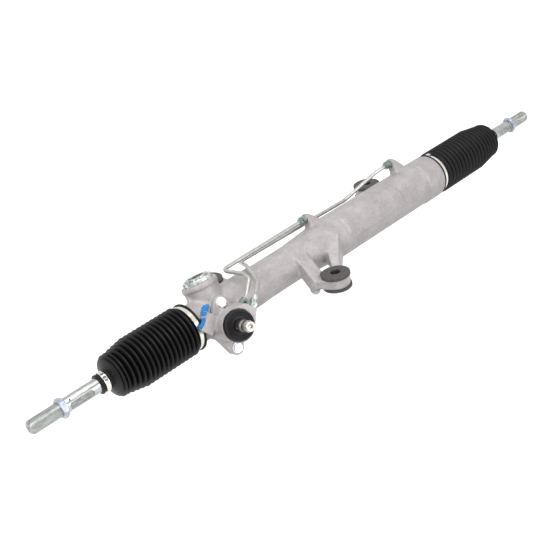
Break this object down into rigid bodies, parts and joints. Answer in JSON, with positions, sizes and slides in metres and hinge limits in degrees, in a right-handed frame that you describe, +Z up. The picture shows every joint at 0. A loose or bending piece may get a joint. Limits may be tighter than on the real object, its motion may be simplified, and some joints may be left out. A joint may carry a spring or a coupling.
{
  "type": "steering rack",
  "caption": "Power steering rack: cast housing with an angled pinion and valve unit, bellows boots, threaded tie rods, rubber mounting bushes and steel oil pipes.",
  "frame": {"origin": "centre of the front mounting bush's bore, half way up its steel sleeve", "axes": "+X along the rack bar from the pinion side to the far side, +Z up along the mounting bolts, -Y towards the side of the front bush"},
  "size_m": [1.186, 0.2137, 0.1215],
  "materials": {
    "cast_aluminium": "sand cast, satin",
    "machined_aluminium": "turned",
    "zinc_steel": "zinc plated, satin",
    "ground_steel": "ground",
    "dark_steel": "phosphated",
    "stainless_band": "bright band",
    "spring_steel": "oiled",
    "bronze": "sintered",
    "boot_rubber": "satin",
    "bush_rubber": "matt",
    "seal_rubber": "satin",
    "seat_plastic": "moulded",
    "ring_plastic": "filled plastic"
  },
  "bodies": {
    "housing": {"rack_housing": "cast_aluminium", "valve_housing": "cast_aluminium", "valve_housing_bolts": "zinc_steel", "bracket_stay_bolt": "zinc_steel", "pinion_end_cap": "machined_aluminium", "pinion_lower_bearing": "ground_steel", "pinion_upper_bearing": "ground_steel", "pinion_oil_seal": "seal_rubber", "input_shaft_bearing": "ground_steel", "input_shaft_seal": "seal_rubber", "seal_retaining_ring": "spring_steel", "dust_cover": "seal_rubber", "rack_guide": "machined_aluminium", "rack_guide_pad": "bronze", "guide_spring": "spring_steel", "guide_cap": "machined_aluminium", "guide_lock_nut": "zinc_steel", "inner_rack_bush": "bronze", "inner_rack_seal": "seal_rubber", "rack_end_stopper": "machined_aluminium", "end_stopper_bush": "bronze", "outer_rack_seal": "seal_rubber", "stopper_o_ring": "seal_rubber", "stopper_retaining_ring": "spring_steel", "front_bush_rubber": "bush_rubber", "front_bush_sleeve": "dark_steel", "rear_bush_rubbers": "bush_rubber", "rear_bush_sleeves": "dark_steel", "left_chamber_pipe": "zinc_steel", "right_chamber_pipe": "zinc_steel", "pipe_union_nuts": "dark_steel", "left_boot": "boot_rubber", "right_boot": "boot_rubber", "left_boot_large_clamp": "stainless_band", "right_boot_large_clamp": "stainless_band"},
    "rack": {"rack_bar": "ground_steel", "piston": "ground_steel", "piston_seal_ring": "ring_plastic", "piston_retaining_rings": "spring_steel", "left_socket": "dark_steel", "right_socket": "dark_steel", "left_lock_washer": "dark_steel", "right_lock_washer": "dark_steel"},
    "left_seat": {"left_ball_seat": "seat_plastic"},
    "right_seat": {"right_ball_seat": "seat_plastic"},
    "left_rod": {"left_tie_rod": "zinc_steel", "left_jam_nut": "zinc_steel", "left_boot_small_clamp": "stainless_band"},
    "right_rod": {"right_tie_rod": "zinc_steel", "right_jam_nut": "zinc_steel", "right_boot_small_clamp": "stainless_band"},
    "pinion_unit": {"pinion": "ground_steel", "valve_sleeve": "ground_steel", "valve_seal_rings": "ring_plastic"},
    "steering_input": {"input_shaft": "ground_steel", "torsion_bar": "spring_steel", "torsion_bar_pin": "spring_steel"}
  },
  "joints": [
    {"name": "rack_slide", "type": "slide", "parent": "housing", "child": "rack", "axis": [1, 0, 0], "range_m": [-0.092, 0.062], "deforming": ["left_boot", "right_boot"]},
    {"name": "pinion_spin", "type": "hinge", "parent": "housing", "child": "pinion_unit", "pos_m": [-0.191, 0.07267, 0.00411], "axis": [-0.225, -0.9156, 0.3333], "range_deg": [-460, 680]},
    {"name": "input_shaft_twist", "type": "hinge", "parent": "pinion_unit", "child": "steering_input", "pos_m": [-0.2045, 0.01773, 0.0241], "axis": [-0.225, -0.9156, 0.3333], "range_deg": [-7, 7], "stiffness_Nm_per_rad": 60},
    {"name": "left_rod_tilt", "type": "hinge", "parent": "rack", "child": "left_seat", "pos_m": [-0.3243, 0.079, 0.0215], "axis": [0, 1, 0], "range_deg": [-20, 20], "deforming": ["left_boot"]},
    {"name": "left_rod_swing", "type": "hinge", "parent": "left_seat", "child": "left_rod", "pos_m": [-0.3243, 0.079, 0.0215], "axis": [0, 0, 1], "range_deg": [-20, 20], "deforming": ["left_boot"]},
    {"name": "right_rod_tilt", "type": "hinge", "parent": "rack", "child": "right_seat", "pos_m": [0.4643, 0.079, 0.0215], "axis": [0, 1, 0], "range_deg": [-20, 20], "deforming": ["right_boot"]},
    {"name": "right_rod_swing", "type": "hinge", "parent": "right_seat", "child": "right_rod", "pos_m": [0.4643, 0.079, 0.0215], "axis": [0, 0, 1], "range_deg": [-20, 20], "deforming": ["right_boot"]}
  ],
  "couplings": [
    {"joint": "pinion_spin", "follows": "rack_slide", "rad_per_m": -125}
  ]
}
